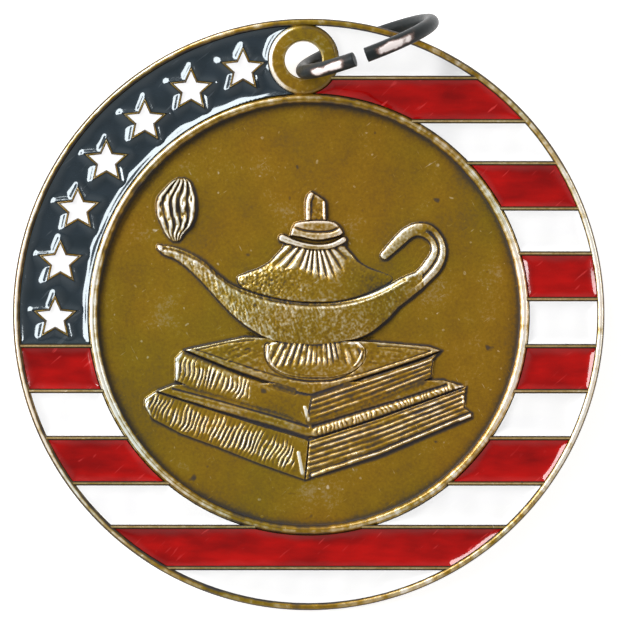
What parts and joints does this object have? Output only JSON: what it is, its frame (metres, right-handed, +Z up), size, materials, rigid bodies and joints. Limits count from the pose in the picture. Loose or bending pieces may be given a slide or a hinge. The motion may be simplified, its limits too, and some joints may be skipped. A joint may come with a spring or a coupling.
{
  "type": "academic medallion with jump ring",
  "caption": "Round antiqued medallion with a raised lamp and books, a rim of enamelled stars and stripes, and a jump ring through its lug.",
  "frame": {"origin": "on the surface it lies on, below the middle of its outline seen from above", "axes": "+Z up from the surface, towards the struck face; +Y towards the top of the art and the lug; +X to the right of the art"},
  "size_m": [0.0635, 0.0641, 0.016],
  "materials": {
    "antique_brass": "satin, darkened in the recesses",
    "blue_enamel": "glossy",
    "red_enamel": "glossy",
    "white_enamel": "glossy",
    "dark_steel": "polished, darkened"
  },
  "bodies": {
    "root": {"medal": "antique_brass", "blue_field": "blue_enamel", "jump_ring": "dark_steel", "star_1": "white_enamel", "star_2": "white_enamel", "star_3": "white_enamel", "star_4": "white_enamel", "star_5": "white_enamel", "star_6": "white_enamel", "star_7": "white_enamel", "white_1_right": "white_enamel", "red_2_right": "red_enamel", "white_3_right": "white_enamel", "red_4_right": "red_enamel", "white_5_right": "white_enamel", "red_6_right": "red_enamel", "white_7_right": "white_enamel", "red_8_right": "red_enamel", "white_9_right": "white_enamel", "red_10_right": "red_enamel", "white_11_right": "white_enamel", "red_8_left": "red_enamel", "white_9_left": "white_enamel", "red_10_left": "red_enamel", "white_11_left": "white_enamel", "red_12_bottom": "red_enamel", "white_13_bottom": "white_enamel"}
  },
  "joints": []
}
